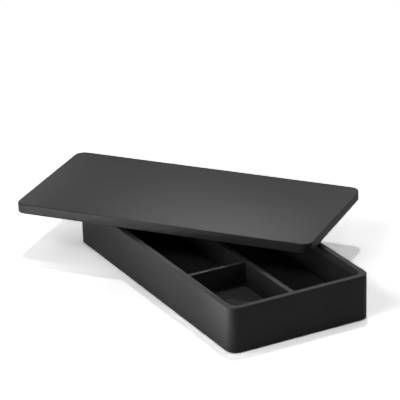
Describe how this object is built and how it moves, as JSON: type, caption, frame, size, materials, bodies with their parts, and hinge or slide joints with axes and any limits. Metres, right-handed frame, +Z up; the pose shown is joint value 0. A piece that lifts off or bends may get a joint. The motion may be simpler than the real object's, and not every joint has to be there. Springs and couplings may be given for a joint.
{
  "type": "lidded desk tray",
  "caption": "Low rectangular desk box with rounded corners, divided into compartments for cables and small things, with a loose flat lid lying askew on the rim.",
  "frame": {"origin": "centre of the closed box's footprint, on the surface it stands on", "axes": "+X along the box's long side towards the small compartment's end, +Y towards the full-length compartment, +Z up"},
  "size_m": [0.3805, 0.2926, 0.0568],
  "materials": {
    "satin_black_shell": "fine satin, near black",
    "satin_black_lid": "fine satin, near black",
    "divider_black": "fine satin, near black",
    "matt_black_board": "plain matt black",
    "floor_mat": "matt black sheet with a fine even surface",
    "foot_rubber": "matt dark grey rubber"
  },
  "bodies": {
    "tray": {"tray_frame": "satin_black_shell", "base_panel": "matt_black_board", "long_divider": "divider_black", "cross_divider": "divider_black", "floor_mat_small": "floor_mat", "floor_mat_middle": "floor_mat", "floor_mat_long": "floor_mat", "anti_slip_foot_1": "foot_rubber", "anti_slip_foot_2": "foot_rubber", "anti_slip_foot_3": "foot_rubber", "anti_slip_foot_4": "foot_rubber"},
    "lid": {"lid_panel": "satin_black_lid", "lid_locating_plate": "matt_black_board"}
  },
  "joints": [
    {"name": "lid_lift", "type": "slide", "parent": "tray", "child": "lid", "axis": [0, 0, 1], "range_m": [0, 0.06]}
  ]
}
